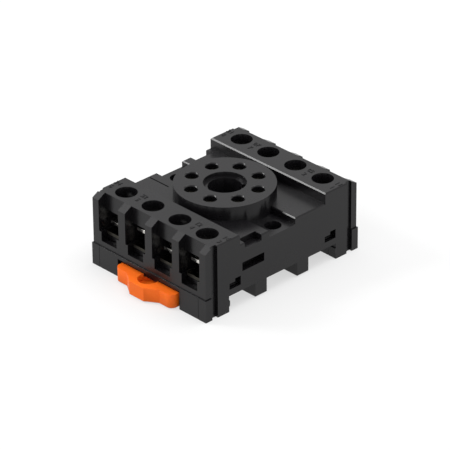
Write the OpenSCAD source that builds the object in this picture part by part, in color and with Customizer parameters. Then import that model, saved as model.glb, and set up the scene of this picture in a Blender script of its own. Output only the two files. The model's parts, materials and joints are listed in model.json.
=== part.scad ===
// Eight-pin plug-in relay socket for a 35 mm rail or a panel.
// X runs along a row of screw terminals, Y from one row to the other, Z up. The origin is the
// centre of the pin circle on the plane that the feet stand on. All but the rail clip, and what
// holds it, repeats under a half turn about Z. Terminals 1 to 4 are the row at -Y, from -X to +X,
// and terminals 5 to 8 are their half-turn copies.

/* [Housing] */
// Width along a row of terminals
body_w = 40; // [39:0.5:46]
// Length from end face to end face
body_l = 51; // [50.5:0.5:60]
// Height of the two terminal blocks
block_h = 19.5; // [19:0.25:24]
// Length of each terminal block
block_l = 11.3; // [10.6:0.1:11.6]
// Height of the steps between the terminal blocks
step_h = 16.8; // [16:0.1:18.5]
// Height of the two floors that the mounting screws press on
floor_h = 15.1; // [14:0.1:15.9]
// Length of each floor on the side away from its clip slot
floor_far = 4.05; // [3.5:0.05:5]
// Length of each floor on the side of its clip slot
floor_near = 4.5; // [3.5:0.05:5]
// How far the end faces and flanges stand back above the base
flange_inset = 0.3; // [0.1:0.05:0.6]
// Chamfer along the top edges
edge_chamfer = 0.3; // [0.1:0.05:0.6]
// Distance from each end to the groove in each side wall
groove_inset = 3; // [2.5:0.1:3.5]
// Width of the groove in each side wall
groove_w = 1.8; // [0.8:0.1:2]
// Depth of the groove in each side wall
groove_t = 0.8; // [0.3:0.1:1]
// Distance from the centre to the fine groove across the step at -X
score_y = 6.9; // [6.5:0.1:7.3]
// Width of that groove
score_w = 0.35; // [0.2:0.05:0.5]

/* [Plug disc] */
// Diameter of the raised disc
disc_d = 25.1; // [24:0.1:26]
// Height of the disc's face
disc_h = 20.35; // [19.8:0.05:25]
// Thickness of the disc over the contacts
disc_skin = 1.5; // [1:0.1:2.2]
// Diameter of the circle that the pins stand on
pin_circle_d = 17.45; // [17.2:0.05:18.5]
// Diameter of the eight pin holes
pin_hole_d = 3.2; // [2.8:0.1:3.3]
// Chamfer round each pin hole
pin_chamfer = 0.25; // [0.1:0.05:0.3]
// Diameter of the hole for the plug's centre post
post_d = 8.4; // [7.8:0.1:8.8]
// Diameter of the rebate round that hole
rebate_d = 10.6; // [9.6:0.1:10.8]
// Depth of the rebate
rebate_t = 1.1; // [0.5:0.1:2]
// Width of the keyway
key_w = 1.9; // [1.4:0.1:2.4]
// Direction of the keyway in degrees from +X
key_angle = 45; // [0:45:315]

/* [Terminals] */
// Distance between neighbouring terminals
pitch = 9.4; // [9.1:0.05:9.5]
// Distance from each end to its row of screws
row_inset = 6.3; // [6.1:0.05:6.5]
// Diameter of the screwdriver holes
access_d = 5.5; // [5.4:0.1:6.2]
// Width of each wire bay
bay_w = 7; // [6.8:0.1:7.2]
// Depth of each bay from the end face to its upper wall
bay_depth = 2.2; // [1.6:0.1:2.3]
// Drop of the chamfer on the ribs between the bays
rib_drop = 1.3; // [0.5:0.1:2]
// Height of the ledges beside each contact strip
ledge_h = 9.9; // [9.6:0.05:10.1]
// Height of the wire openings above the ledges
opening_rise = 5.2; // [5:0.1:5.9]
// Width of the notch in front of each contact strip
notch_w = 5.4; // [4:0.1:5.6]
// Height of the floor of that notch
notch_h = 7.35; // [6.9:0.05:8]

/* [Side wall] */
// Depth of the retainer slots cut in the steps
slot_t = 2.3; // [1.2:0.1:2.4]
// Length of the retainer slots
slot_l = 5.5; // [3:0.1:6]
// Height of their floor
slot_h = 15.2; // [14.5:0.1:16]
// Length of the retainer windows below them
window_l = 7.2; // [4:0.1:8]
// Height of the retainer windows
window_t = 2.3; // [1:0.1:2.6]
// Height of the lower edge of the retainer windows
window_h = 9.4; // [9.1:0.1:11]
// Distance from the centre to the middle of slots and windows
window_y = 9.9; // [9:0.1:10.2]
// Length of the L-shaped snap windows
snap_l = 3.7; // [3:0.1:4]
// Height of the low part of the snap windows
snap_low = 1.6; // [1.2:0.1:1.8]
// Height of the tall part of the snap windows
snap_high = 2.4; // [2:0.1:2.6]
// Distance from each end to the middle of its snap windows
snap_inset = 9.6; // [9.4:0.05:9.7]
// Thickness of the snap arms on the base
snap_t = 1; // [0.7:0.1:1.2]

/* [Mounting] */
// Distance between the two mounting holes
mount_pitch = 33; // [32.5:0.1:34]
// Diameter of the mounting holes
mount_d = 4.2; // [3.2:0.1:4.6]
// Width of the rail
rail_w = 35; // [34.8:0.1:35.2]
// Room for the rail beyond its width
rail_play = 0.8; // [0.4:0.1:1.2]
// Thickness of the rail's flange
rail_t = 1; // [0.8:0.1:1.2]
// Height of the face that the rail seats on
rail_h = 4.3; // [4.2:0.05:4.5]
// Reach of the fixed hooks under the rail
hook_reach = 1.2; // [0.6:0.1:1.6]
// Length of each fixed hook
hook_l = 8; // [4:0.5:10]
// Thickness of the hooks at their tips
hook_tip_t = 0.7; // [0.5:0.05:0.9]
// Thickness of the hooks at their roots
hook_root_t = 1.9; // [1:0.1:2]
// Reach of the small lips in the corner feet
nub_reach = 0.3; // [0.1:0.05:0.35]
// Height of those lips
nub_t = 1.6; // [1:0.1:2]

/* [Base] */
// Height of the top of the base
base_h = 5.9; // [5.8:0.05:6.2]
// Width of the base between the housing's side walls
base_w = 34.7; // [34:0.1:34.9]
// Distance from the centre to the middle feet
foot_y = 7; // [6.6:0.1:7.4]
// Width of the middle feet
foot_w = 3.85; // [3:0.05:4.2]
// Height that the middle feet stand off the ground
foot_lift = 0.3; // [0.1:0.05:0.6]
// How far the middle feet stand back from the side walls
foot_inset = 0.4; // [0.1:0.05:0.8]
// Wall round the hollows in the feet
foot_wall = 1.2; // [0.9:0.1:1.5]

/* [Contact strips] */
// Height of the top of the strips
strip_h = 9.5; // [9.3:0.05:9.8]
// Thickness of the strips
strip_t = 0.8; // [0.6:0.05:0.9]
// Width of the strips under the screws
strip_w = 5.6; // [5:0.1:5.8]
// Length of the strips under the screws
tab_l = 7.5; // [6.5:0.1:7.6]
// How far the screws stand off the middle of the strips
tab_offset = 0.35; // [0.3:0.05:0.5]
// Width of the arm to each pin contact
arm_w = 2.6; // [1.6:0.1:3]
// Diameter of the pins that the contacts take
pin_d = 2.36; // [2.2:0.02:2.4]
// Thickness of the sheet that the contacts are rolled from
contact_t = 0.45; // [0.3:0.05:0.45]
// Width of the slit in each contact
slit_w = 0.6; // [0.3:0.1:1]
// Diameter of the drawn collar under each tapped hole
collar_d = 5; // [4.4:0.1:5.2]
// Depth of the drawn collar
collar_t = 1; // [0.4:0.1:1.2]

/* [Screws and clamps] */
// Thread diameter of the terminal screws
screw_d = 3.5; // [3:0.1:3.6]
// Length of the screws under the head
screw_l = 6; // [5.6:0.1:6.1]
// Diameter of the screw heads
head_d = 5.2; // [4.6:0.1:5.2]
// Height of the screw heads
head_t = 2; // [1.6:0.1:2.4]
// Length of the cross recess
recess_l = 3.7; // [3:0.1:3.8]
// Width of the cross recess's blades
recess_w = 0.9; // [0.6:0.1:1.1]
// Depth of the cross recess
recess_t = 1.2; // [0.8:0.1:1.4]
// Width of the square wire clamps
clamp_w = 6.2; // [5.6:0.1:6.3]
// Thickness of the wire clamps
clamp_t = 0.9; // [0.6:0.1:1]
// Distance from the screw to the grooves under the clamps
clamp_groove_y = 2.3; // [2.2:0.05:2.5]
// Width of those grooves
clamp_groove_w = 0.4; // [0.2:0.05:0.4]
// Rise of the first and third clamp in each row above the tightened screw
lift_odd = [1.15, 1.6]; // [0:0.05:3.4]
// Rise of the second and fourth clamp in each row
lift_even = [3.1, 2.65]; // [0:0.05:3.4]

/* [Rail clip] */
// Width of the clip's grip
grip_w = 20; // [16:0.5:20]
// How far the ends of the grip stand out of the end face
grip_wing = 1.75; // [1.7:0.05:2.5]
// How far the middle of the grip stands out of the end face
grip_nose = 3.9; // [3.2:0.1:4.5]
// Width of the middle of the grip at its tip
grip_tip_w = 5.6; // [5:0.1:7]
// Width of the middle of the grip where it leaves the ends
grip_root_w = 11.4; // [9:0.1:13]
// Height of the top of the grip
grip_h = 3.95; // [3.9:0.05:4.4]
// Radius of the screwdriver notch
pry_r = 2.6; // [1.5:0.1:2.8]
// Depth of the screwdriver notch
pry_t = 1.7; // [0.8:0.1:2]
// Thickness of the sliding plate
plate_t = 2.7; // [2.2:0.1:2.8]
// Reach of the clip's latch under the rail
latch_reach = 1.2; // [0.6:0.1:1.4]
// Width of the latch
latch_w = 13; // [8:0.5:14]
// How far the clip slides out
clip_travel = 2.8; // [2:0.1:2.8]

/* [Fits] */
// Gap round parts that are pushed into place
fit = 0.1; // [0.05:0.01:0.12]
// Gap round parts that slide
play = 0.2; // [0.15:0.01:0.25]
// Gap between the screws and their tapped holes
thread_play = 0.05; // [0.02:0.01:0.08]
// Gap that stays between a tightened clamp and the ledges
wire_gap = 0.1; // [0.05:0.01:0.2]

/* [Hidden] */
$fn = 64;
EPS = 0.01;
OUT = 5;                                  // cuts run this far past the faces they open
ROW = 4;                                  // terminals in a row
BORE_FN = 48;

half_w = body_w / 2;
half_l = body_l / 2;
row_y = half_l - row_inset;               // the rows of screws
groove_y = half_l - groove_inset;         // the grooves in the side walls
snap_y = half_l - snap_inset;             // the middle of the snap windows
end_y = half_l - flange_inset;            // end faces above the base
opening_h = ledge_h + opening_rise;       // the top of the wire openings
bay_y = end_y - bay_depth;                // upper back wall of the bays
block_y = half_l - block_l;               // inner face of the terminal blocks
tab_y0 = row_y + tab_l / 2 + tab_offset;  // outer end of the strips
tab_y1 = tab_y0 - tab_l;                  // inner end of the strips
strip_z = strip_h - strip_t;
pocket_w = strip_w + 2 * fit;
channel_y = rail_w / 2 + rail_play / 2;   // inner faces of the end feet
shank_r = screw_d / 2;
tap_r = shank_r + thread_play;
contact_r0 = pin_d / 2 + 0.05;            // the contact's bore, with a running gap round the pin
contact_r1 = contact_r0 + contact_t;
cell_r = contact_r1 + play;               // round cell that each contact springs open in
pad_r = contact_r1 + 0.3;                 // round pad at the foot of each contact
contact_top = disc_h - disc_skin - fit;
clamp_z = ledge_h + wire_gap;             // underside of the clamp when the screw is tight
head_z = clamp_z + clamp_t + fit;         // underside of the head when the screw is tight
well_z = head_z - screw_l - play;         // floor of the well under each screw
arm_x = 1.1;                              // the arms leave the tabs this far off centre
boss_r = mount_d / 2 + 1.5;               // pillar round each mounting hole
slider_w = grip_w - 0.4;
clip_z = 0.3;                             // underside of the clip
plate_z = clip_z + plate_t;
channel_z = plate_z + fit + play;         // roof of the clip's channel
mouth_h = grip_h + 0.95;                  // top of the mouth that the grip sits in
mouth_t = 0.9;
mouth_side = 0.8;                         // room beside the grip in its mouth
tongue_l = 2.5;                           // tongues that run in the channel's grooves
tongue_t = 0.8;
tongue_h = 1.3;
tongue_z = clip_z + 0.8;
clip_slit_w = 1;                          // slits that free the clip's spring arms
grip_r = 1.6;                             // round corners of the grip's ends
latch_h = rail_h - rail_t - 0.3;          // top of the hooks and of the latch
tongue_y = channel_y + 0.8;               // inner end of the clip's tongues at rest

function column(k) = (k - 1) % ROW;
function row_turn(k) = k > ROW ? 180 : 0;
function column_x(i) = (i - (ROW - 1) / 2) * pitch;
function pin_angle(i) = 202.5 + 45 * i;
function pin_at(i) = pin_circle_d / 2 * [cos(pin_angle(i)), sin(pin_angle(i))];
function lift(i) = i % 2 == 0 ? lift_odd[i / 2] : lift_even[(i - 1) / 2];

// ---- helpers ----

// the children, and the same turned half round Z
module both_ends() {
    for (turn = [0, 180]) rotate(turn) children();
}

// box from one corner to the other
module span(low, high) {
    translate(low) cube(high - low);
}

// the Y-Z outline, drawn with Y to the right and Z up, as a bar centred on X
module bar_x(length) {
    rotate([90, 0, 90]) translate([0, 0, -length / 2]) linear_extrude(length) children();
}

// the X-Z outline as a bar from y0 to y1
module bar_y(y0, y1) {
    translate([0, y1, 0]) rotate([90, 0, 0]) linear_extrude(y1 - y0) children();
}

// flat bar between two points
module link(a, b, width) {
    d = b - a;
    translate(a) rotate(atan2(d[1], d[0])) translate([0, -width / 2]) square([norm(d), width]);
}

// ---- housing ----

// outline with both top corners chamfered
module roof_outline(width, height) {
    c = edge_chamfer;
    polygon([
        [-width / 2, 0], [width / 2, 0], [width / 2, height - c], [width / 2 - c, height],
        [c - width / 2, height], [-width / 2, height - c]
    ]);
}

// the terminal block at -Y, with the slope that tops the ribs between its bays
module terminal_block(width, outer_y) {
    c = edge_chamfer;
    intersection() {
        bar_y(-outer_y, -block_y) roof_outline(width, block_h);
        bar_x(body_w) polygon([
            [-end_y, 0], [-end_y, block_h - rib_drop], [-bay_y, block_h],
            [-block_y - c, block_h], [-block_y, block_h - c], [-block_y, 0]
        ]);
    }
}

// pillar round the mounting hole at +X, below the underside of the housing
module pillar(gap) {
    r = boss_r + gap;
    translate([mount_pitch / 2, 0, rail_h - EPS]) cylinder(r = r, h = base_h - rail_h + 3 * EPS);
    span([mount_pitch / 2, -r, rail_h - EPS], [half_w, r, base_h + EPS]);
}

module housing_form() {
    both_ends() {
        terminal_block(body_w - 2 * flange_inset, end_y);
        terminal_block(body_w, groove_y);
        span([-half_w, -half_l, 0], [half_w, -block_y, base_h]);
    }
    bar_y(-block_y - 1, block_y + 1) roof_outline(body_w, step_h);
    translate([0, 0, base_h]) cylinder(d = disc_d, h = disc_h - base_h, $fn = 128);
}

// what one terminal takes out of the block at -Y
module terminal_cut() {
    span([-bay_w / 2, -half_l - OUT, ledge_h], [bay_w / 2, -bay_y, block_h + OUT]);
    span([-bay_w / 2, -bay_y - EPS, ledge_h], [bay_w / 2, -tab_y1 + fit, opening_h]);
    span([-notch_w / 2, -half_l - OUT, notch_h], [notch_w / 2, -tab_y0, ledge_h + EPS]);
    span([-pocket_w / 2, -tab_y0 - fit, -EPS], [pocket_w / 2, -tab_y1 + fit, ledge_h + EPS]);
    translate([0, -row_y, opening_h - EPS]) cylinder(d = access_d, h = block_h + OUT, $fn = BORE_FN);
}

// a strip's arm and pad, grown all round by the gap
module arm_outline(i, gap) {
    start = [column_x(i) - arm_x * sign(column_x(i)), -tab_y1 - 1];
    link(start, pin_at(i), arm_w + 2 * gap);
    translate(pin_at(i)) circle(r = pad_r + gap);
}

module contact_cut(i) {
    translate([0, 0, -EPS]) linear_extrude(strip_h + fit + EPS) arm_outline(i, play);
    translate(pin_at(i)) {
        cylinder(r = cell_r, h = disc_h - disc_skin);
        cylinder(d = pin_hole_d, h = disc_h + OUT, $fn = BORE_FN);
        translate([0, 0, disc_h - pin_chamfer])
            cylinder(d1 = pin_hole_d, d2 = pin_hole_d + 4 * pin_chamfer, h = 2 * pin_chamfer, $fn = BORE_FN);
    }
}

module post_cut() {
    translate([0, 0, -EPS]) cylinder(d = post_d, h = disc_h + OUT);
    translate([0, 0, disc_h - rebate_t]) cylinder(d = rebate_d, h = OUT, $fn = 96);
    rotate(key_angle) span([0, -key_w / 2, base_h - EPS], [rebate_d / 2, key_w / 2, disc_h + OUT]);
}

module floor_cut() {
    difference() {
        span([0, -floor_near, floor_h], [half_w + OUT, floor_far, disc_h + OUT]);
        cylinder(d = disc_d, h = disc_h + OUT, $fn = 128);
    }
}

// L-shaped window whose tall part is towards +Y
module snap_outline() {
    polygon([
        [-snap_l / 2, 0], [snap_l / 2, 0], [snap_l / 2, snap_high],
        [0, snap_high], [0, snap_low], [-snap_l / 2, snap_low]
    ]);
}

module side_cut() {
    for (side = [-1, 1]) translate([base_w / 2, side * snap_y, base_h + fit])
        rotate([90, 0, 90]) linear_extrude(half_w) snap_outline();
    for (side = [-1, 1]) translate([half_w - groove_t, side * groove_y - groove_w / 2, -EPS])
        cube([OUT, groove_w, block_h + OUT]);
    translate([half_w - slot_t, -window_y - slot_l / 2, slot_h]) cube([OUT, slot_l, OUT]);
    translate([half_w - slot_t, -window_y - window_l / 2, window_h]) cube([OUT, window_l, window_t]);
}

// room for the base between the side walls, with the pillars round the mounting holes left standing
module base_cut() {
    difference() {
        span([-base_w / 2 - fit, -half_l - OUT, -EPS], [base_w / 2 + fit, half_l + OUT, base_h]);
        both_ends() pillar(0);
    }
    span([-half_w - OUT, -channel_y, -EPS], [half_w + OUT, channel_y, rail_h]);
    both_ends() for (end = [-1, 1])
        translate([base_w / 2 - snap_t - play, end * snap_y - snap_l / 2 - play, base_h - EPS])
            cube([snap_t + 2 * play, snap_l + 2 * play, snap_high + 2 * play]);
}

// lips inside the corner feet that guide the rail's edge
module rail_nub() {
    bar = half_w - base_w / 2 - fit;
    for (side = [-1, 1]) translate([side * (half_w - bar / 2), 0, 0]) bar_x(bar) polygon([
        [-channel_y - EPS, latch_h - nub_t], [-channel_y + nub_reach, latch_h - nub_t + nub_reach],
        [-channel_y + nub_reach, latch_h], [-channel_y - EPS, latch_h]
    ]);
}

module housing() color("#2b2a2d") {
    both_ends() rail_nub();
    difference() {
        housing_form();
        both_ends() {
            for (i = [0 : ROW - 1]) {
                translate([column_x(i), 0, 0]) terminal_cut();
                contact_cut(i);
            }
            floor_cut();
            side_cut();
            translate([mount_pitch / 2, 0, -EPS]) cylinder(d = mount_d, h = step_h + OUT, $fn = BORE_FN);
        }
        post_cut();
        base_cut();
        translate([-half_w + groove_t, -score_y - score_w / 2, step_h - score_w])
            cube([half_w - groove_t - disc_d / 2, score_w, OUT]);
    }
}

// ---- base ----

// seat under one strip, with a hollow post under its contact
module strip_seat(i) {
    x = column_x(i);
    span(
        [x - strip_w / 2 + fit, -tab_y0 + fit, base_h - EPS],
        [x + strip_w / 2 - fit, -tab_y1 - fit, strip_z]
    );
    translate(pin_at(i)) translate([0, 0, base_h - EPS]) difference() {
        cylinder(r = pad_r - fit, h = strip_z - base_h + EPS);
        translate([0, 0, 2 * EPS]) cylinder(r = contact_r0 + fit, h = OUT);
    }
}

// well that the screw's end and the collar of its tapped hole stand in
module screw_well(i) {
    translate([column_x(i), -row_y, 0]) {
        translate([0, 0, well_z]) cylinder(r = tap_r + play, h = OUT);
        translate([0, 0, strip_z - collar_t - fit]) cylinder(d = collar_d + 2 * fit, h = OUT);
    }
}

// arm that springs into the snap windows at +X
module snap_arm(end) {
    x = base_w / 2;
    y = end * snap_y;
    span([x - snap_t, y - snap_l / 2, base_h - EPS], [x, y + snap_l / 2, base_h + snap_high]);
    bar_y(y - snap_l / 2 + play, y + snap_l / 2 - play) polygon([
        [x - EPS, base_h + 2 * fit], [half_w - 1, base_h + 2 * fit],
        [half_w - 1, base_h + 5 * fit], [x - EPS, base_h + snap_low]
    ]);
}

// fixed hook at +Y that holds the rail's edge
module rail_hook() {
    bar_x(hook_l) polygon([
        [channel_y + EPS, latch_h], [channel_y - hook_reach, latch_h],
        [channel_y - hook_reach, latch_h - hook_tip_t], [channel_y + EPS, latch_h - hook_root_t]
    ]);
}

// row of hollows that core a foot out from below
module hollows(x0, x1, y0, y1, count) {
    step = (x1 - x0) / count;
    for (i = [0 : count - 1])
        span([x0 + i * step + foot_wall / 2, y0 + foot_wall, -EPS],
            [x0 + (i + 1) * step - foot_wall / 2, y1 - foot_wall, rail_h - foot_wall]);
}

module clip_channel() {
    side_x = slider_w / 2 + play;
    span([-side_x, -half_l - OUT, -EPS], [side_x, -channel_y + EPS, channel_z]);
    span(
        [-grip_w / 2 - mouth_side, -half_l - OUT, -EPS],
        [grip_w / 2 + mouth_side, -half_l + mouth_t, mouth_h]
    );
    span([-side_x - tongue_t, -tongue_y - tongue_l - clip_travel - fit, tongue_z - play],
        [side_x + tongue_t, -tongue_y + play, tongue_z + tongue_h + play]);
}

module base() color("#29282b") {
    foot_x = half_w - foot_inset;
    near_x = slider_w / 2 + play + tongue_t;
    difference() {
        union() {
            span([-base_w / 2, -half_l, rail_h], [base_w / 2, half_l, base_h]);
            both_ends() {
                span([-base_w / 2, -half_l, 0], [base_w / 2, -channel_y, rail_h + EPS]);
                span([-foot_x, foot_y - foot_w / 2, foot_lift], [foot_x, foot_y + foot_w / 2, rail_h - fit]);
                span(
                    [-base_w / 2, foot_y - foot_w / 2, foot_lift],
                    [base_w / 2, foot_y + foot_w / 2, rail_h + EPS]
                );
                for (i = [0 : ROW - 1]) strip_seat(i);
                for (end = [-1, 1]) snap_arm(end);
            }
            for (side = [-1, 1]) translate([side * base_w / 4, 0, 0]) rail_hook();
        }
        both_ends() {
            pillar(fit);
            for (i = [0 : ROW - 1]) screw_well(i);
            hollows(
                -foot_x + foot_wall / 2, foot_x - foot_wall / 2,
                foot_y - foot_w / 2, foot_y + foot_w / 2, 6
            );
        }
        hollows(-base_w / 2 + foot_wall / 2, base_w / 2 - foot_wall / 2, channel_y, half_l, 4);
        for (side = [-1, 1])
            hollows(side > 0 ? near_x + foot_wall / 2 : -base_w / 2 + foot_wall / 2,
                side > 0 ? base_w / 2 - foot_wall / 2 : -near_x - foot_wall / 2, -half_l, -channel_y, 1);
        clip_channel();
    }
}

// ---- rail clip ----

module grip_outline() {
    wing_y = half_l + grip_wing;
    nose_y = half_l + grip_nose;
    inner_y = half_l - mouth_t + fit;
    x = grip_w / 2;
    translate([grip_r - x, -wing_y]) square([grip_w - 2 * grip_r, wing_y - inner_y]);
    intersection() {
        for (side = [-1, 1]) translate([side * (x - grip_r), grip_r - wing_y]) circle(r = grip_r);
        translate([-x, -wing_y]) square([grip_w, wing_y - inner_y]);
    }
    translate([-x, grip_r - wing_y]) square([grip_w, wing_y - grip_r - inner_y]);
    polygon([
        [-grip_root_w / 2, EPS - wing_y], [-grip_tip_w / 2 - 0.3, 0.5 - nose_y],
        [0.3 - grip_tip_w / 2, -nose_y],
        [grip_tip_w / 2 - 0.3, -nose_y], [grip_tip_w / 2 + 0.3, 0.5 - nose_y], [grip_root_w / 2, EPS - wing_y]
    ]);
}

module latch() {
    bar_x(latch_w) polygon([
        [-channel_y - 1, clip_z], [-channel_y, clip_z], [-channel_y + latch_reach, latch_h - 0.8],
        [-channel_y + latch_reach, latch_h], [-channel_y - 1, latch_h]
    ]);
}

module rail_clip() color("#f77a1c") {
    plate_y = channel_y + 0.3;
    slit_x = latch_w / 2 + 0.5;
    difference() {
        union() {
            translate([0, 0, clip_z]) linear_extrude(grip_h - clip_z) grip_outline();
            span([-slider_w / 2, -half_l, clip_z], [slider_w / 2, -plate_y, plate_z]);
            span([-slider_w / 2 - tongue_t, -tongue_y - tongue_l, tongue_z],
                [slider_w / 2 + tongue_t, -tongue_y, tongue_z + tongue_h]);
            latch();
        }
        translate([0, -half_l, grip_h - pry_t]) cylinder(r = pry_r, h = OUT, $fn = BORE_FN);
        for (side = [-1, 1])
            translate([side * (slit_x + clip_slit_w / 2) - clip_slit_w / 2, -half_l + mouth_t + 1, -EPS])
                cube([clip_slit_w, half_l, OUT]);
    }
}

// ---- screws, clamps and contacts ----

// puts its children at terminal k, at the height z
module at_terminal(k, z) {
    rotate(row_turn(k)) translate([column_x(column(k)), -row_y, z]) children();
}

module terminal_screw(k) color("silver") {
    edge = 0.4;
    at_terminal(k, head_z + lift(column(k))) difference() {
        union() {
            translate([0, 0, -screw_l]) cylinder(r1 = shank_r - edge, r2 = shank_r, h = edge + EPS);
            translate([0, 0, edge - screw_l]) cylinder(r = shank_r, h = screw_l - edge + EPS);
            cylinder(d = head_d, h = head_t - edge + EPS);
            translate([0, 0, head_t - edge]) cylinder(d1 = head_d, d2 = head_d - 2 * edge, h = edge);
        }
        for (turn = [0, 90]) rotate(turn + 20 * k)
            translate([-recess_l / 2, -recess_w / 2, head_t - recess_t]) cube([recess_l, recess_w, OUT]);
    }
}

module clamp_washer(k) color("silver") {
    corner = 0.7;
    a = clamp_w / 2;
    b = a - corner;
    at_terminal(k, clamp_z + lift(column(k))) difference() {
        linear_extrude(clamp_t)
            polygon([[a, -b], [a, b], [b, a], [-b, a], [-a, b], [-a, -b], [-b, -a], [b, -a]]);
        translate([0, 0, -EPS]) cylinder(r = shank_r + play, h = OUT, $fn = BORE_FN);
        for (side = [-1, 1]) translate([-b, side * clamp_groove_y - clamp_groove_w / 2, -EPS])
            cube([2 * b, clamp_groove_w, clamp_groove_w / 2]);
    }
}

module contact_strip(k) color("#c9b370") {
    i = column(k);
    x = column_x(i);
    rotate(row_turn(k)) difference() {
        union() {
            span([x - strip_w / 2, -tab_y0, strip_z], [x + strip_w / 2, -tab_y1, strip_h]);
            translate([0, 0, strip_z]) linear_extrude(strip_t) arm_outline(i, 0);
            translate([x, -row_y, strip_z - collar_t])
                cylinder(d = collar_d, h = collar_t + EPS, $fn = BORE_FN);
            translate(pin_at(i)) translate([0, 0, strip_z])
                cylinder(r = contact_r1, h = contact_top - strip_z);
        }
        translate([x, -row_y, strip_z - collar_t - EPS]) cylinder(r = tap_r, h = OUT, $fn = BORE_FN);
        translate(pin_at(i)) {
            cylinder(r = contact_r0, h = disc_h, $fn = BORE_FN);
            rotate(pin_angle(i)) translate([0, -slit_w / 2, strip_h + 0.6]) cube([OUT, slit_w, disc_h]);
        }
    }
}

housing();
base();
rail_clip();
for (k = [1 : 2 * ROW]) {
    terminal_screw(k);
    clamp_washer(k);
    contact_strip(k);
}
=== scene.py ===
"""Looks of an eight-pin plug-in relay socket, laid out as an add-on and run as a script."""

import json
from math import cos, pi, radians, sin

import bmesh
import bpy
from bpy.props import FloatProperty, FloatVectorProperty, PointerProperty
from mathutils import Matrix, Vector

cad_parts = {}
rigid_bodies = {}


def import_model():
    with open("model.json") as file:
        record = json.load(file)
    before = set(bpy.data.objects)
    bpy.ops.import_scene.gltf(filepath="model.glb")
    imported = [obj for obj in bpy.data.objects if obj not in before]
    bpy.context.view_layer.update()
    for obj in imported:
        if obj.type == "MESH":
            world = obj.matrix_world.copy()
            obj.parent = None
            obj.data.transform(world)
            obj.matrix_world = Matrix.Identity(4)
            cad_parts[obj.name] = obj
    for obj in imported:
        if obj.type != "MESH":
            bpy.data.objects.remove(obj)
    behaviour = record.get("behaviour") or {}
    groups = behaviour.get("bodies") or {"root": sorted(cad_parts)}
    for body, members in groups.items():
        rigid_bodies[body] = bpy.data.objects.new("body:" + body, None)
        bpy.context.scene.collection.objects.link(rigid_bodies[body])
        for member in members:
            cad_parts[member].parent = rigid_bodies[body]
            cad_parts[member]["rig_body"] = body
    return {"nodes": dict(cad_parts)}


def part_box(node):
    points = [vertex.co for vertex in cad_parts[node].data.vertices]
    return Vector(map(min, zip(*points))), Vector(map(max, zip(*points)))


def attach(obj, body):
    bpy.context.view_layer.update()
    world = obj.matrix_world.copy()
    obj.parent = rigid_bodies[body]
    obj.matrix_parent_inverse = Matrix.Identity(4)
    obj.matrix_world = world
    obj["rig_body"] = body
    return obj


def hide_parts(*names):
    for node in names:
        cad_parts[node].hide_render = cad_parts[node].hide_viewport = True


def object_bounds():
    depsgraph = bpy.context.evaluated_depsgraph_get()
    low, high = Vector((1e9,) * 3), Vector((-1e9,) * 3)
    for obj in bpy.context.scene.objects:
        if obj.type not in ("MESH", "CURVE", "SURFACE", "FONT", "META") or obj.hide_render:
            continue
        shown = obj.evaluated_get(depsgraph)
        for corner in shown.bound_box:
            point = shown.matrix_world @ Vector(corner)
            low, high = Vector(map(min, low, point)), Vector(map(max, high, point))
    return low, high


bl_info = {
    "name": "Relay socket",
    "version": (1, 0, 0),
    "blender": (4, 5, 0),
    "location": "View3D > Sidebar > Relay socket",
    "description": "Dresses a plug-in relay socket's solids with soft edges, threads, numbers and finishes",
    "category": "Object",
}

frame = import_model()
CAD_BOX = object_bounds()

MM = 0.001
ROW = 4  # terminals in a row
SAME = 0.01 * MM  # places that are closer are taken as one
WELD = 0.0005 * MM  # corners of the solids that are closer are joined
FLAT = radians(0.4)  # triangles that meet at less are one flat face
CURVE = radians(0.5)  # faces that meet at more, and at less than a bend, are one curved surface
BEND = radians(20)  # faces that meet at more have an edge between them

# the walls beside the screw floors: how far they lie from the middle, how far their tops lie below the
# top of the disc, and the shortest of their edges
WALL_Y = 6 * MM
WALL_DROP = (3 * MM, 5 * MM)
WALL_LENGTH = 5 * MM

# the blanked edges and what stands higher than the tabs, the sleeves in the pin holes, take the brass painted
# dark as shade
TAB_RISE = 2 * MM  # the strips' flat tabs and arms end this far above their collars
UPRIGHT = 0.3  # faces whose normal rises less are blanked edges
SHANK_REACH = 1.8 * MM  # what lies farther from a screw's axis is its head
THREAD_START = 0.1 * MM  # plain end below the thread
THREAD_SINK = 0.02 * MM  # how far the thread's foot lies inside the shank
THREAD_RIDGE = (0.42, 0.58)  # the ends of the crest, as shares of the pitch
THREAD_STEPS = 20  # sections in one turn

# the moulded numbers: (terminal, pin), for the row over the clip and then the other row, from -X to +X
NUMBERS = (
    (("24", "6"), ("22", "5"), ("12", "4"), ("14", "3")),
    (("21", "8"), ("07", "7"), ("02", "2"), ("11", "1")),
)
NUMBER_OFFSET = (4.75 * MM, 0.5 * MM)  # from the middle of the screw hole
LINE_RISE = 0.806  # from the middle to each line of a pair, in heights of the figures
FONT_SIZE = 1.4  # the font's size, in heights of the figures
BLOCK_REACH = 4 * MM  # the blocks' tops reach this far in from the screws

# the lamps: the setting with the power, the place and the diameter in metres
LAMPS = (
    ("key", (-0.474, -0.358, 0.47), 0.22),
    ("top", (0.15, 0.25, 0.75), 0.5),
    ("side", (-0.474, -0.107, 0.57), 0.2),
)
FLOOR_REACH = 4.0  # metres from the middle of the floor to its edges
FLOOR_DROP = 0.02 * MM  # the feet stand this far above the paper
FLOOR_CELLS = 2
SENSOR = 36  # width in millimetres


# ---- colour and nodes ----


def linear(code):
    """An sRGB hex code as three linear values."""
    parts = [int(code[i : i + 2], 16) / 255 for i in (1, 3, 5)]
    return tuple(v / 12.92 if v <= 0.04045 else ((v + 0.055) / 1.055) ** 2.4 for v in parts)


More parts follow.
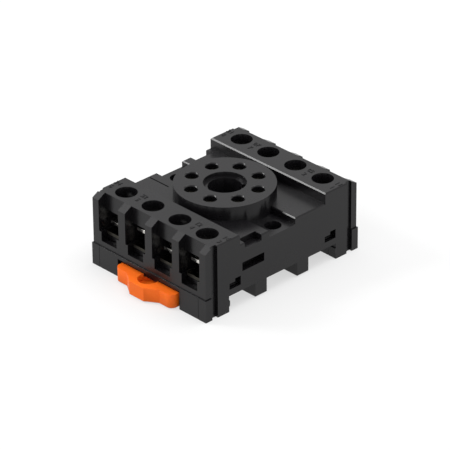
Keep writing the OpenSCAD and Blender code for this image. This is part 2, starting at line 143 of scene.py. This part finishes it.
def add_node(tree, kind, inputs=None, **settings):
    """One new node with its settings; an input that is given a socket is linked to it."""
    made = tree.nodes.new(kind)
    for name, value in settings.items():
        setattr(made, name, value)
    for name, value in (inputs or {}).items():
        if isinstance(value, bpy.types.NodeSocket):
            tree.links.new(value, made.inputs[name])
        else:
            made.inputs[name].default_value = value
    return made


def new_material(name):
    """An empty node material, its tree and its object coordinates."""
    material = bpy.data.materials.new(name)
    material.use_nodes = True
    tree = material.node_tree
    tree.nodes.clear()
    return material, tree, add_node(tree, "ShaderNodeTexCoord").outputs["Object"]


def shade(colour, factor):
    """The colour made darker or lighter, as four values."""
    return tuple(min(1.0, c * factor) for c in colour) + (1.0,)


# ---- materials ----


def moulded_polyamide(name, colour, grain, gloss):
    """Black polyamide, injection moulded."""
    # Spark erosion leaves the tool finely pitted, so the plastic is matt with a weak sheen, weaker than
    # polished polyamide's. Melt that cools unevenly leaves faint clouds some 8 mm across, in tone and in
    # gloss.
    material, tree, place = new_material(name)
    cloud = add_node(tree, "ShaderNodeTexNoise", {"Vector": place, "Scale": 1 / (8 * MM), "Detail": 3.0})
    tones = {0: cloud.outputs["Fac"], 6: shade(colour, 0.8), 7: shade(colour, 1.25)}
    tone = add_node(tree, "ShaderNodeMix", tones, data_type="RGBA")
    levels = {"Value": cloud.outputs["Fac"], "To Min": gloss - 0.015, "To Max": gloss + 0.015}
    sheen = add_node(tree, "ShaderNodeMapRange", levels)
    # the real pits are about 0.05 mm; they are drawn eight times as coarse so that they show
    pits = add_node(tree, "ShaderNodeTexNoise", {"Vector": place, "Scale": 1 / grain, "Detail": 2.0})
    relief = {"Height": pits.outputs["Fac"], "Strength": 0.1, "Distance": 0.03 * MM}
    surface = {
        "Base Color": tone.outputs[2],
        "Roughness": sheen.outputs["Result"],
        "IOR": 1.36,
        "Normal": add_node(tree, "ShaderNodeBump", relief).outputs["Normal"],
    }
    shader = add_node(tree, "ShaderNodeBsdfPrincipled", surface)
    add_node(tree, "ShaderNodeOutputMaterial", {"Surface": shader.outputs["BSDF"]})
    return material


def moulded_acetal(name, colour, grain):
    """Orange acetal, injection moulded."""
    # A slippery plastic that takes a clean sheen from the tool, and lets a little light in, so that
    # its edges glow. The pigment streams leave long faint streaks.
    material, tree, place = new_material(name)
    scales = (1 / (9 * MM), 1 / (2.5 * MM), 1 / (2.5 * MM))
    along = add_node(tree, "ShaderNodeMapping", {"Vector": place, "Scale": scales})
    spots = {"Vector": along.outputs["Vector"], "Scale": 1.0, "Detail": 3.0}
    streak = add_node(tree, "ShaderNodeTexNoise", spots)
    tones = {0: streak.outputs["Fac"], 6: shade(colour, 0.88), 7: shade(colour, 1.1)}
    tone = add_node(tree, "ShaderNodeMix", tones, data_type="RGBA")
    levels = {"Value": streak.outputs["Fac"], "To Min": 0.45, "To Max": 0.6}
    sheen = add_node(tree, "ShaderNodeMapRange", levels)
    # the real pits are about 0.05 mm; they are drawn ten times as coarse so that they show
    pits = add_node(tree, "ShaderNodeTexNoise", {"Vector": place, "Scale": 1 / grain, "Detail": 2.0})
    relief = {"Height": pits.outputs["Fac"], "Strength": 0.2, "Distance": 0.02 * MM}
    surface = {
        "Base Color": tone.outputs[2],
        "Roughness": sheen.outputs["Result"],
        "IOR": 1.4,
        "Normal": add_node(tree, "ShaderNodeBump", relief).outputs["Normal"],
        "Subsurface Weight": 0.12,
        "Subsurface Radius": (1.0, 0.35, 0.1),
        "Subsurface Scale": 1.2 * MM,
    }
    shader = add_node(tree, "ShaderNodeBsdfPrincipled", surface)
    add_node(tree, "ShaderNodeOutputMaterial", {"Surface": shader.outputs["BSDF"]})
    return material


def plated_steel(name, colour):
    """Nickel-plated steel, cold headed or pressed, then barrel plated."""
    # Tumbling in the barrel leaves shallow dents and a bright shine; the plating pools lighter and duller
    # in patches of about 1 mm.
    material, tree, place = new_material(name)
    patch = add_node(tree, "ShaderNodeTexNoise", {"Vector": place, "Scale": 1 / (1.1 * MM), "Detail": 3.0})
    tones = {0: patch.outputs["Fac"], 6: shade(colour, 0.86), 7: shade(colour, 1.12)}
    tone = add_node(tree, "ShaderNodeMix", tones, data_type="RGBA")
    levels = {"Value": patch.outputs["Fac"], "To Min": 0.08, "To Max": 0.16}
    sheen = add_node(tree, "ShaderNodeMapRange", levels)
    # the real dents are about 0.5 mm; they are drawn wider so that they bend what the metal mirrors
    dents = add_node(tree, "ShaderNodeTexNoise", {"Vector": place, "Scale": 1 / (1.8 * MM), "Detail": 1.0})
    relief = {"Height": dents.outputs["Fac"], "Strength": 0.25, "Distance": 0.12 * MM}
    surface = {
        "Base Color": tone.outputs[2],
        "Metallic": 1.0,
        "Roughness": sheen.outputs["Result"],
        "Normal": add_node(tree, "ShaderNodeBump", relief).outputs["Normal"],
    }
    shader = add_node(tree, "ShaderNodeBsdfPrincipled", surface)
    add_node(tree, "ShaderNodeOutputMaterial", {"Surface": shader.outputs["BSDF"]})
    return material


def rolled_brass(name, colour):
    """Nickel-plated brass strip, rolled, blanked and bent."""
    # Rolling draws fine lines along the strip, which stretch each reflection across them. The real lines
    # are about 0.03 mm apart; they are drawn eight times as coarse so that they show.
    material, tree, place = new_material(name)
    scales = (1 / (0.25 * MM), 1 / (6 * MM), 1 / (0.25 * MM))
    along = add_node(tree, "ShaderNodeMapping", {"Vector": place, "Scale": scales})
    spots = {"Vector": along.outputs["Vector"], "Scale": 1.0, "Detail": 4.0}
    lines = add_node(tree, "ShaderNodeTexNoise", spots)
    tones = {0: lines.outputs["Fac"], 6: shade(colour, 0.9), 7: shade(colour, 1.1)}
    tone = add_node(tree, "ShaderNodeMix", tones, data_type="RGBA")
    levels = {"Value": lines.outputs["Fac"], "To Min": 0.1, "To Max": 0.2}
    sheen = add_node(tree, "ShaderNodeMapRange", levels)
    relief = {"Height": lines.outputs["Fac"], "Strength": 0.15, "Distance": 0.02 * MM}
    surface = {
        "Base Color": tone.outputs[2],
        "Metallic": 1.0,
        "Roughness": sheen.outputs["Result"],
        "Normal": add_node(tree, "ShaderNodeBump", relief).outputs["Normal"],
    }
    shader = add_node(tree, "ShaderNodeBsdfPrincipled", surface)
    add_node(tree, "ShaderNodeOutputMaterial", {"Surface": shader.outputs["BSDF"]})
    return material


def sheared_brass_with_painted_shade(name, colour):
    """The strips' blanked edges, where the punch tears the brass, and their sleeves down in the pin holes; the
    dark tone is painted shade.
    """
    # The tear is dull and pitted along the punch's stroke, which is upright. Its near-black tone is painted
    # shade, which hides what the edges would mirror and the glints on the sleeves.
    material, tree, place = new_material(name)
    scales = (1 / (0.15 * MM), 1 / (0.15 * MM), 1 / (1.5 * MM))
    along = add_node(tree, "ShaderNodeMapping", {"Vector": place, "Scale": scales})
    spots = {"Vector": along.outputs["Vector"], "Scale": 1.0, "Detail": 3.0}
    tear = add_node(tree, "ShaderNodeTexNoise", spots)
    # painted shade: the brass is drawn at a tenth to a fifth of its own colour
    tones = {0: tear.outputs["Fac"], 6: shade(colour, 0.1), 7: shade(colour, 0.22)}
    tone = add_node(tree, "ShaderNodeMix", tones, data_type="RGBA")
    relief = {"Height": tear.outputs["Fac"], "Strength": 0.3, "Distance": 0.03 * MM}
    surface = {
        "Base Color": tone.outputs[2],
        "Metallic": 1.0,
        "Roughness": 0.5,
        "Normal": add_node(tree, "ShaderNodeBump", relief).outputs["Normal"],
    }
    shader = add_node(tree, "ShaderNodeBsdfPrincipled", surface)
    add_node(tree, "ShaderNodeOutputMaterial", {"Surface": shader.outputs["BSDF"]})
    return material


# ---- meshes ----


def merged_copy(node):
    """A copy of a CAD node's mesh with its triangles joined into whole faces."""
    bm = bmesh.new()
    bm.from_mesh(frame["nodes"][node].data)
    bmesh.ops.remove_doubles(bm, verts=bm.verts, dist=WELD)
    bmesh.ops.dissolve_limit(
        bm, angle_limit=FLAT, use_dissolve_boundaries=False, verts=bm.verts, edges=bm.edges, delimit=set()
    )
    return bm


def place_piece(name, bm, node, material, edge, steps=2):
    """The finished piece: rounded edges, its finish and the body of the CAD node."""
    bends = [e for e in bm.edges if len(e.link_faces) == 2 and CURVE < e.calc_face_angle(0) < BEND]
    for face in {f for e in bends for f in e.link_faces}:
        face.smooth = True
    mesh = bpy.data.meshes.new(name)
    bm.to_mesh(mesh)
    bm.free()
    mesh.materials.append(material)
    piece = bpy.data.objects.new(name, mesh)
    bpy.context.scene.collection.objects.link(piece)
    if edge:
        # the overlap clamp narrows this rounding to what a piece's shortest edges leave room for: the housing,
        # the clip and the screws get far less than the width that is set, and like strips and like clamps
        # get different widths
        rounding = piece.modifiers.new("Edges", "BEVEL")
        rounding.width = edge
        rounding.segments = steps
        rounding.limit_method = "ANGLE"
        rounding.angle_limit = BEND
        rounding.use_clamp_overlap = True
        rounding.harden_normals = True
    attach(piece, frame["nodes"][node]["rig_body"])
    return piece


def stand_for(piece, node):
    """The piece replaces the CAD node, which is hidden."""
    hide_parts(node)


def spun_thread(bm, centre, low, high, root, crest, pitch):
    """A right-hand thread: one tooth, spun and lifted round the screw's axis."""
    turns = (high - low) / pitch - 1
    steps = round(THREAD_STEPS * turns)
    start, end = (share * pitch for share in THREAD_RIDGE)
    tooth = [
        bm.verts.new(centre + Vector((radius, 0, low + rise)))
        for radius, rise in ((root, 0.0), (crest, start), (crest, end), (root, pitch))
    ]
    bmesh.ops.spin(
        bm, geom=[bm.faces.new(tooth)], cent=centre, axis=(0, 0, 1), angle=2 * pi * turns, steps=steps,
        dvec=(0, 0, pitch * turns / steps), use_merge=False,
    )


# ---- settings ----


class HousingSettings(bpy.types.PropertyGroup):
    colour: FloatVectorProperty(
        name="Plastic", description="Colour of the housing and base",
        subtype="COLOR", size=3, min=0, max=1, default=linear("#0E0D0F"),
    )
    edge: FloatProperty(
        name="Edge radius", description="Radius that the mould leaves on each outer edge",
        default=0.12 * MM, min=0.02 * MM, max=0.3 * MM, unit="LENGTH", precision=5,
    )
    base_edge: FloatProperty(
        name="Base edge radius", description="Radius on the edges of the base, which is crisper",
        default=0.05 * MM, min=0.02 * MM, max=0.3 * MM, unit="LENGTH", precision=5,
    )
    wall_edge: FloatProperty(
        name="Wall chamfer", description="Chamfer along the top of the walls beside the screw floors",
        default=0.25 * MM, min=0.05 * MM, max=0.5 * MM, unit="LENGTH", precision=5,
    )
    grain: FloatProperty(
        name="Grain", description="Distance between the pits of the moulded surface, as drawn",
        default=0.4 * MM, min=0.1 * MM, max=2 * MM, unit="LENGTH", precision=5,
    )
    gloss: FloatProperty(
        name="Roughness", description="Mean roughness of the moulded surface",
        default=0.27, min=0.1, max=0.8,
    )


class ClipSettings(bpy.types.PropertyGroup):
    colour: FloatVectorProperty(
        name="Plastic", description="Colour of the rail clip",
        subtype="COLOR", size=3, min=0, max=1, default=linear("#FF6E12"),
    )
    edge: FloatProperty(
        name="Edge radius", description="Radius on the edges of the clip",
        default=0.2 * MM, min=0.02 * MM, max=0.4 * MM, unit="LENGTH", precision=5,
    )
    grain: FloatProperty(
        name="Grain", description="Distance between the pits of the clip's surface, as drawn",
        default=0.5 * MM, min=0.1 * MM, max=2 * MM, unit="LENGTH", precision=5,
    )


class TerminalSettings(bpy.types.PropertyGroup):
    steel: FloatVectorProperty(
        name="Steel", description="Colour of the plated screws and clamps",
        subtype="COLOR", size=3, min=0, max=1, default=linear("#CBC9C4"),
    )
    brass: FloatVectorProperty(
        name="Contact metal", description="Colour of the plated contact strips",
        subtype="COLOR", size=3, min=0, max=1, default=linear("#A8A498"),
    )
    head_t: FloatProperty(
        name="Head height", description="Height of each screw head",
        default=2 * MM, min=1 * MM, max=3 * MM, unit="LENGTH", precision=5,
    )
    pitch: FloatProperty(
        name="Thread pitch", description="Rise of the screw thread in one turn",
        default=0.6 * MM, min=0.4 * MM, max=1 * MM, unit="LENGTH", precision=5,
    )
    depth: FloatProperty(
        name="Thread depth", description="Depth of the screw thread",
        default=0.33 * MM, min=0.1 * MM, max=0.5 * MM, unit="LENGTH", precision=5,
    )
    edge: FloatProperty(
        name="Edge radius", description="Radius on the edges of the screws and strips",
        default=0.08 * MM, min=0.01 * MM, max=0.2 * MM, unit="LENGTH", precision=5,
    )
    clamp_edge: FloatProperty(
        name="Clamp chamfer", description="Chamfer that the press leaves round the clamps",
        default=0.15 * MM, min=0.05 * MM, max=0.3 * MM, unit="LENGTH", precision=5,
    )


class NumberSettings(bpy.types.PropertyGroup):
    height: FloatProperty(
        name="Height", description="Height of the moulded numbers",
        default=1.4 * MM, min=0.6 * MM, max=2 * MM, unit="LENGTH", precision=5,
    )
    relief: FloatProperty(
        name="Relief", description="How far the numbers stand proud",
        default=0.1 * MM, min=0.02 * MM, max=0.3 * MM, unit="LENGTH", precision=5,
    )


class StageSettings(bpy.types.PropertyGroup):
    azimuth: FloatProperty(
        name="Camera azimuth", description="Direction of the camera, turned from -Y towards +X",
        default=radians(46.58), unit="ROTATION",
    )
    elevation: FloatProperty(
        name="Camera elevation", description="Height of the camera above the horizon",
        default=radians(29.51), unit="ROTATION",
    )
    roll: FloatProperty(
        name="Camera roll", description="Turn of the camera about its view",
        default=radians(-0.58), unit="ROTATION",
    )
    distance: FloatProperty(
        name="Camera distance", description="Distance from the camera to its aim",
        default=866.2 * MM, unit="LENGTH", precision=4,
    )
    aim: FloatVectorProperty(
        name="Aim", description="Point that the camera looks at",
        size=3, default=(1.042 * MM, -1.079 * MM, 9.352 * MM), subtype="TRANSLATION", precision=6,
    )
    lens: FloatProperty(
        name="Lens", description="Focal length in millimetres on a 36 mm sensor",
        default=286.7, min=20,
    )
    key: FloatProperty(
        name="Key lamp", description="Power of the soft lamp over the clip's left",
        default=2.4, min=0, unit="POWER",
    )
    top: FloatProperty(
        name="Top lamp", description="Power of the soft lamp overhead",
        default=3.2, min=0, unit="POWER",
    )
    side: FloatProperty(
        name="Side lamp",
        description="Power of the soft lamp high on the left, which lights the sloping ends of the ribs",
        default=0.2, min=0, unit="POWER",
    )
    ambient: FloatProperty(
        name="Room light", description="Strength of the light from all round",
        default=1.0, min=0,
    )
    glow: FloatProperty(
        name="Floor glow", description="Light that the floor shows of its own, so that it looks white",
        default=0.6, min=0, max=1,
    )
    paper: FloatVectorProperty(
        name="Floor", description="Colour of the paper floor",
        subtype="COLOR", size=3, min=0, max=1, default=linear("#8C8C8C"),
    )


SETTINGS = {
    "relay_housing": HousingSettings,
    "relay_clip": ClipSettings,
    "relay_terminals": TerminalSettings,
    "relay_numbers": NumberSettings,
    "relay_stage": StageSettings,
}


# ---- pieces ----


class RELAY_OT_housing(bpy.types.Operator):
    """Moulded housing and the base that snaps into it, with rounded edges"""

    bl_idname = "relay.housing"
    bl_label = "Housing and base"

    def execute(self, context):
        choice = context.scene.relay_housing
        plastic = moulded_polyamide("Black_polyamide_moulded", choice.colour, choice.grain, choice.gloss)
        housing = merged_copy("housing")
        self.break_wall_edges(housing, choice.wall_edge)
        stand_for(place_piece("moulded_housing", housing, "housing", plastic, choice.edge), "housing")
        stand_for(place_piece("moulded_base", merged_copy("base"), "base", plastic, choice.base_edge), "base")
        return {"FINISHED"}

    def break_wall_edges(self, bm, width):
        """A chamfer along the top of the walls that face the two screw floors."""
        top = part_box("housing")[1][2]
        walls = []
        for edge in bm.edges:
            a, b = (v.co for v in edge.verts)
            along_x = abs(a.y - b.y) < SAME and abs(a.z - b.z) < SAME and abs(a.x - b.x) > WALL_LENGTH
            if along_x and abs(a.y) < WALL_Y and WALL_DROP[0] < top - a.z < WALL_DROP[1]:
                walls.append(edge)
        bmesh.ops.bevel(bm, geom=walls, offset=width, affect="EDGES", segments=1, material=-1)


class RELAY_OT_clip(bpy.types.Operator):
    """Orange rail clip with rounded edges"""

    bl_idname = "relay.clip"
    bl_label = "Rail clip"

    def execute(self, context):
        choice = context.scene.relay_clip
        plastic = moulded_acetal("Orange_acetal_moulded", choice.colour, choice.grain)
        piece = place_piece("release_clip", merged_copy("rail_clip"), "rail_clip", plastic, choice.edge)
        stand_for(piece, "rail_clip")
        return {"FINISHED"}


class RELAY_OT_contacts(bpy.types.Operator):
    """Blanked contact strips with rounded edges"""

    bl_idname = "relay.contacts"
    bl_label = "Contact strips"

    def execute(self, context):
        choice = context.scene.relay_terminals
        metal = rolled_brass("Nickel_plated_brass_rolled", choice.brass)
        # the sheared brass is partly real, a dull torn edge, and partly painted shade: its dark tone
        cut = sheared_brass_with_painted_shade("Brass_sheared_dull", choice.brass)
        for k in range(1, 2 * ROW + 1):
            node = f"contact_strip_{k}"
            piece = place_piece(f"plated_strip_{k}", merged_copy(node), node, metal, choice.edge, 1)
            piece.data.materials.append(cut)
            tab_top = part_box(node)[0][2] + TAB_RISE
            for polygon in piece.data.polygons:
                # painted shade: the blanked edges and the sleeves in the pin holes take the darkened brass
                polygon.material_index = int(abs(polygon.normal.z) < UPRIGHT or polygon.center.z > tab_top)
            stand_for(piece, node)
        return {"FINISHED"}


class RELAY_OT_screws(bpy.types.Operator):
    """Terminal screws with cut threads, and their square clamps"""

    bl_idname = "relay.screws"
    bl_label = "Screws and clamps"

    def execute(self, context):
        choice = context.scene.relay_terminals
        steel = plated_steel("Nickel_plated_steel_barrel_finished", choice.steel)
        for k in range(1, 2 * ROW + 1):
            node = f"clamp_washer_{k}"
            piece = place_piece(f"pressed_clamp_{k}", merged_copy(node), node, steel, choice.clamp_edge, 1)
            stand_for(piece, node)
            node = f"terminal_screw_{k}"
            piece = place_piece(f"threaded_screw_{k}", self.threaded(node, choice), node, steel, choice.edge)
            stand_for(piece, node)
        return {"FINISHED"}

    def threaded(self, node, choice):
        """A copy of the screw with its shank turned down to the root and a thread cut on it."""
        low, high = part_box(node)
        axis = Vector(((low[0] + high[0]) / 2, (low[1] + high[1]) / 2, 0))
        head_z = high[2] - choice.head_t
        bm = merged_copy(node)
        shank = [v for v in bm.verts if v.co.z < head_z + SAME and (v.co.xy - axis.xy).length < SHANK_REACH]
        crest = max((v.co.xy - axis.xy).length for v in shank)
        root = crest - choice.depth
        bmesh.ops.scale(bm, verts=shank, vec=(root / crest, root / crest, 1), space=Matrix.Translation(-axis))
        plain = set(bm.faces)
        spun_thread(bm, axis, low[2] + THREAD_START, head_z, root - THREAD_SINK, crest, choice.pitch)
        bmesh.ops.holes_fill(bm, edges=[e for e in bm.edges if e.is_boundary], sides=0)
        bmesh.ops.recalc_face_normals(bm, faces=[f for f in bm.faces if f not in plain])
        return bm


class RELAY_OT_numbers(bpy.types.Operator):
    """Small moulded numbers beside the screw holes"""

    bl_idname = "relay.numbers"
    bl_label = "Moulded numbers"

    def execute(self, context):
        choice = context.scene.relay_numbers
        rise, top = LINE_RISE * choice.height, self.block_top()
        bm = bmesh.new()
        for side, row in zip((-1, 1), NUMBERS):
            for i, (terminal, pin) in enumerate(row):
                x, y = self.mark_place(side, i)
                self.add_text(bm, terminal, choice, (x, y + rise, top))
                self.add_text(bm, pin, choice, (x, y - rise, top))
        plastic = bpy.data.materials["Black_polyamide_moulded"]
        piece = place_piece("moulded_numbers", bm, "housing", plastic, 0)
        return {"FINISHED"}

    def block_top(self):
        """Height of the terminal blocks: the highest face of the housing but the disc's."""
        mesh = frame["nodes"]["housing"].data
        screw_y = abs(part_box("terminal_screw_1")[0][1])
        return max(v.co.z for v in mesh.vertices if abs(v.co.y) > screw_y - BLOCK_REACH)

    def mark_place(self, side, i):
        """Beside the hole of column i, away from the middle."""
        k = i + 1 if side < 0 else 2 * ROW - i
        low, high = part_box(f"terminal_screw_{k}")
        x, y = (low[0] + high[0]) / 2, (low[1] + high[1]) / 2
        return x + NUMBER_OFFSET[0] * (1 if x > 0 else -1), y + NUMBER_OFFSET[1] * (1 if side < 0 else -1)

    def add_text(self, bm, text, choice, place):
        """One number, as a mesh that stands on the place."""
        curve = bpy.data.curves.new("number", "FONT")
        curve.body = text
        curve.size = FONT_SIZE * choice.height
        curve.align_x = "CENTER"
        curve.align_y = "CENTER"
        curve.extrude = choice.relief
        curve.resolution_u = 3
        words = bpy.data.objects.new("number", curve)
        bpy.context.scene.collection.objects.link(words)
        bpy.context.view_layer.update()
        solid = words.evaluated_get(bpy.context.evaluated_depsgraph_get())
        mesh = bpy.data.meshes.new_from_object(solid)
        mesh.transform(Matrix.Translation(place))
        bm.from_mesh(mesh)
        bpy.data.objects.remove(words)
        bpy.data.curves.remove(curve)
        bpy.data.meshes.remove(mesh)


# ---- stage ----


class RELAY_OT_stage(bpy.types.Operator):
    """White paper floor, soft lamps, room light and camera"""

    bl_idname = "relay.stage"
    bl_label = "Floor, light and camera"

    def execute(self, context):
        choice = context.scene.relay_stage
        self.floor(choice)
        for name, place, size in LAMPS:
            self.lamp(name.title(), getattr(choice, name), place, size)
        self.room(context.scene, choice)
        self.camera(context.scene, choice)
        context.scene.view_settings.view_transform = "Standard"
        return {"FINISHED"}

    def seen(self, tree):
        """1 for rays that see the background, straight, by reflection or through glass."""
        path = add_node(tree, "ShaderNodeLightPath").outputs
        bounces = {0: path["Is Glossy Ray"], 1: path["Is Transmission Ray"]}
        bounced = add_node(tree, "ShaderNodeMath", bounces, operation="MAXIMUM")
        both = {0: path["Is Camera Ray"], 1: bounced.outputs[0]}
        return add_node(tree, "ShaderNodeMath", both, operation="MAXIMUM").outputs[0]

    def floor(self, choice):
        """Paper that looks white to what sees it, and keeps the shadow."""
        bm = bmesh.new()
        bmesh.ops.create_grid(bm, x_segments=FLOOR_CELLS, y_segments=FLOOR_CELLS, size=FLOOR_REACH)
        bmesh.ops.translate(bm, verts=bm.verts, vec=(0, 0, CAD_BOX[0][2] - FLOOR_DROP))
        mesh = bpy.data.meshes.new("Floor")
        bm.to_mesh(mesh)
        bm.free()
        material, tree, _ = new_material("Paper_sweep")
        paper = add_node(tree, "ShaderNodeBsdfDiffuse", {"Color": tuple(choice.paper) + (1.0,)})
        level = add_node(tree, "ShaderNodeMath", {0: self.seen(tree), 1: choice.glow}, operation="MULTIPLY")
        glow = add_node(tree, "ShaderNodeEmission", {"Strength": level.outputs[0]})
        both = add_node(tree, "ShaderNodeAddShader", {0: paper.outputs[0], 1: glow.outputs[0]})
        add_node(tree, "ShaderNodeOutputMaterial", {"Surface": both.outputs[0]})
        mesh.materials.append(material)
        floor = bpy.data.objects.new("Floor", mesh)
        bpy.context.scene.collection.objects.link(floor)

    def lamp(self, name, power, place, size):
        """A round soft lamp that points at the origin."""
        data = bpy.data.lights.new(name, "AREA")
        data.shape = "DISK"
        data.size = size
        data.energy = power
        lamp = bpy.data.objects.new(name, data)
        lamp.location = place
        lamp.rotation_euler = Vector(place).to_track_quat("Z", "Y").to_euler()
        bpy.context.scene.collection.objects.link(lamp)

    def room(self, scene, choice):
        """Even light from all round, from a room that looks white."""
        scene.world = bpy.data.worlds.new("Room")
        scene.world.use_nodes = True
        tree = scene.world.node_tree
        tree.nodes.clear()
        ends = {0: self.seen(tree), 2: choice.ambient, 3: 1.0}
        level = add_node(tree, "ShaderNodeMix", ends, data_type="FLOAT")
        white = add_node(tree, "ShaderNodeBackground", {"Color": (1, 1, 1, 1), "Strength": level.outputs[0]})
        add_node(tree, "ShaderNodeOutputWorld", {"Surface": white.outputs[0]})

    def camera(self, scene, choice):
        """A long lens, aimed at the socket."""
        azimuth, elevation = choice.azimuth, choice.elevation
        back = Vector((sin(azimuth) * cos(elevation), -cos(azimuth) * cos(elevation), sin(elevation)))
        data = bpy.data.cameras.new("Camera")
        data.lens = choice.lens
        data.sensor_width = SENSOR
        data.clip_start, data.clip_end = 0.01, 20
        camera = bpy.data.objects.new("Camera", data)
        turn = (-back).to_track_quat("-Z", "Y").to_matrix() @ Matrix.Rotation(choice.roll, 3, "Z")
        camera.matrix_world = Matrix.Translation(Vector(choice.aim) + back * choice.distance) @ turn.to_4x4()
        scene.collection.objects.link(camera)
        scene.camera = camera


class RELAY_PT_socket(bpy.types.Panel):
    bl_idname = "RELAY_PT_socket"
    bl_label = "Relay socket"
    bl_space_type = "VIEW_3D"
    bl_region_type = "UI"
    bl_category = "Relay socket"

    def draw(self, context):
        for operator in OPERATORS:
            self.layout.operator(operator.bl_idname)
        for name, group in SETTINGS.items():
            box = self.layout.box()
            for key in group.__annotations__:
                box.prop(getattr(context.scene, name), key)


OPERATORS = (
    RELAY_OT_housing, RELAY_OT_clip, RELAY_OT_contacts, RELAY_OT_screws, RELAY_OT_numbers, RELAY_OT_stage,
)


def register():
    for kind in (*SETTINGS.values(), *OPERATORS, RELAY_PT_socket):
        bpy.utils.register_class(kind)
    for name, group in SETTINGS.items():
        setattr(bpy.types.Scene, name, PointerProperty(type=group))


def unregister():
    for name in SETTINGS:
        delattr(bpy.types.Scene, name)
    for kind in reversed((*SETTINGS.values(), *OPERATORS, RELAY_PT_socket)):
        bpy.utils.unregister_class(kind)


def main():
    register()
    bpy.ops.relay.housing()
    bpy.ops.relay.clip()
    bpy.ops.relay.contacts()
    bpy.ops.relay.screws()
    bpy.ops.relay.numbers()
    bpy.ops.relay.stage()
    bpy.context.view_layer.update()


if __name__ == "__main__":
    main()
